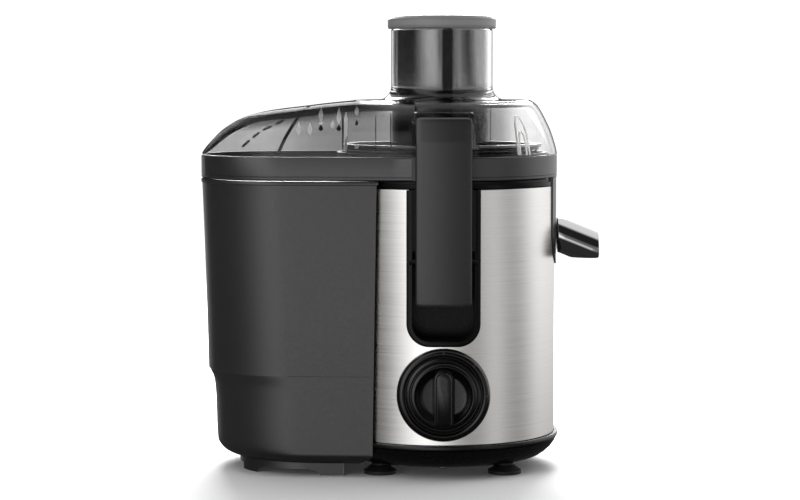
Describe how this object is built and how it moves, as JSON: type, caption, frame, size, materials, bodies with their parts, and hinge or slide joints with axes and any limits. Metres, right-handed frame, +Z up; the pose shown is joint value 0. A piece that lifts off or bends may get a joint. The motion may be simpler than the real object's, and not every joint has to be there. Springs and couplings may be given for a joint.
{
  "type": "centrifugal juicer",
  "caption": "Centrifugal juicer: steel motor base, clear lid with feed chute and pusher, spinning sieve, juice spout, side latches, speed knob and pulp container.",
  "frame": {"origin": "centre of the whole juicer's bounding box at the level of the table it stands on", "axes": "+Z up along the drive axis, +X towards the juice spout with the pulp container at -X, -Y towards the speed knob"},
  "size_m": [0.2894, 0.1886, 0.331],
  "materials": {
    "dark_grey_plastic": "satin moulded plastic, fine texture",
    "mid_grey_plastic": "satin moulded plastic",
    "black_plastic": "glossy black moulded plastic",
    "brushed_steel": "horizontally brushed stainless steel",
    "chrome": "mirror plated",
    "clear_plastic": "clear transparent plastic",
    "smoked_plastic": "glossy dark grey plastic",
    "sieve_steel": "etched stainless sheet",
    "motor_iron": "varnished laminations and plated steel",
    "copper_winding": "enamelled copper wire",
    "brass_part": "drawn brass",
    "rubber": "matte black rubber",
    "board": "solder-masked board"
  },
  "bodies": {
    "base": {"base_plate": "black_plastic", "suction_foot_1": "rubber", "suction_foot_2": "rubber", "suction_foot_3": "rubber", "suction_foot_4": "rubber", "base_screw_1": "motor_iron", "base_screw_2": "motor_iron", "base_screw_3": "motor_iron", "base_screw_4": "motor_iron", "steel_wrap": "brushed_steel", "motor_housing": "black_plastic", "cord_gland": "rubber", "latch_pocket_near": "dark_grey_plastic", "latch_pin_near": "motor_iron", "interlock_switch_near": "black_plastic", "latch_pocket_far": "dark_grey_plastic", "latch_pin_far": "motor_iron", "interlock_switch_far": "black_plastic", "knob_bezel": "black_plastic", "speed_switch": "black_plastic", "circuit_board": "board", "stator_core": "motor_iron", "field_coil_left": "copper_winding", "field_coil_right": "copper_winding", "lower_bearing": "sieve_steel", "upper_bearing": "sieve_steel", "lower_motor_bracket": "motor_iron", "upper_motor_bracket": "motor_iron", "brush_holder_left": "brass_part", "brush_holder_right": "brass_part", "carbon_brush_left": "rubber", "carbon_brush_right": "rubber", "motor_mount_1": "rubber", "motor_mount_2": "rubber", "motor_mount_3": "rubber", "motor_mount_4": "rubber", "shaft_seal": "rubber"},
    "rotor": {"motor_shaft": "sieve_steel", "armature_core": "motor_iron", "armature_winding_upper": "copper_winding", "armature_winding_lower": "copper_winding", "commutator": "brass_part", "cooling_fan": "dark_grey_plastic", "drive_coupling": "dark_grey_plastic"},
    "sieve": {"sieve_hub": "dark_grey_plastic", "grater_disc": "sieve_steel", "sieve_mesh": "sieve_steel", "sieve_ring": "sieve_steel"},
    "collector": {"juice_collector": "dark_grey_plastic"},
    "lid": {"lid": "clear_plastic"},
    "pusher": {"pusher_body": "smoked_plastic", "pusher_cap": "mid_grey_plastic"},
    "spout": {"spout": "chrome"},
    "latch_near": {"latch_near": "dark_grey_plastic"},
    "latch_far": {"latch_far": "dark_grey_plastic"},
    "knob": {"knob": "black_plastic", "knob_shaft": "motor_iron"},
    "container": {"pulp_container": "dark_grey_plastic"}
  },
  "joints": [
    {"name": "rotor_spin", "type": "hinge", "parent": "base", "child": "rotor", "pos_m": [0.03025, 0.00675, 0.1], "axis": [0, 0, 1], "continuous": true},
    {"name": "collector_lift", "type": "slide", "parent": "base", "child": "collector", "axis": [0, 0, 1], "range_m": [0, 0.12]},
    {"name": "sieve_spin", "type": "hinge", "parent": "collector", "child": "sieve", "pos_m": [0.03025, 0.00675, 0.2], "axis": [0, 0, 1], "continuous": true},
    {"name": "lid_lift", "type": "slide", "parent": "collector", "child": "lid", "axis": [0, 0, 1], "range_m": [0, 0.15]},
    {"name": "pusher_slide", "type": "slide", "parent": "lid", "child": "pusher", "axis": [0, 0, 1], "range_m": [0, 0.11]},
    {"name": "spout_tilt", "type": "hinge", "parent": "collector", "child": "spout", "pos_m": [0.11575, 0.00675, 0.18], "axis": [0, -1, 0], "range_deg": [0, 25]},
    {"name": "latch_near_swing", "type": "hinge", "parent": "base", "child": "latch_near", "pos_m": [0.03025, -0.07225, 0.154], "axis": [1, 0, 0], "range_deg": [0, 45]},
    {"name": "latch_far_swing", "type": "hinge", "parent": "base", "child": "latch_far", "pos_m": [0.03025, 0.08575, 0.154], "axis": [-1, 0, 0], "range_deg": [0, 45]},
    {"name": "knob_turn", "type": "hinge", "parent": "base", "child": "knob", "pos_m": [0.03025, -0.08325, 0.0612], "axis": [0, 1, 0], "range_deg": [0, 90]},
    {"name": "container_slide", "type": "slide", "parent": "base", "child": "container", "axis": [-1, 0, 0], "range_m": [0, 0.2]}
  ],
  "couplings": [
    {"joint": "sieve_spin", "follows": "rotor_spin", "ratio": 1}
  ]
}
